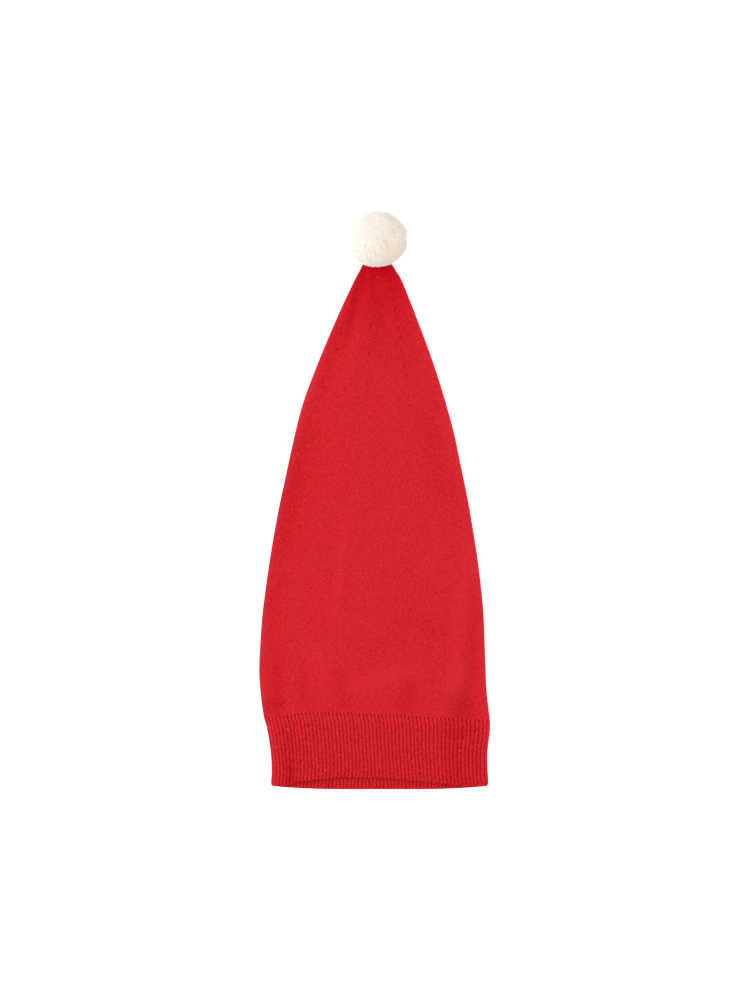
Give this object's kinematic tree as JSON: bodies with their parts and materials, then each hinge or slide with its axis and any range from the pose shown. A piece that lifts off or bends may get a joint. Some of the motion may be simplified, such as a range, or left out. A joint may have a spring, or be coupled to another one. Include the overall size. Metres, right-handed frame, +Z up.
{
  "type": "knitted santa hat",
  "caption": "Long tapered knitted santa hat lying flat, with a ribbed rim band, an open hollow that a head goes into, and a cream yarn pompom sewn to its closed tip.",
  "frame": {"origin": "middle of the hat's plan, on the plane that it lies on", "axes": "+Y along the hat from its rim to its pompom, +Z up from the plane that it lies on, +X to the right seen from above with the pompom away"},
  "size_m": [0.2123, 0.531, 0.0508],
  "materials": {
    "red_plain_knit": "matt fine-gauge plain knit with a slight wool bloom",
    "red_rib_knit": "matt fine-gauge one-by-one rib knit",
    "cream_yarn": "matt cut wool yarn"
  },
  "bodies": {
    "root": {"crown": "red_plain_knit", "rib_band": "red_rib_knit", "pompom": "cream_yarn"}
  },
  "joints": []
}
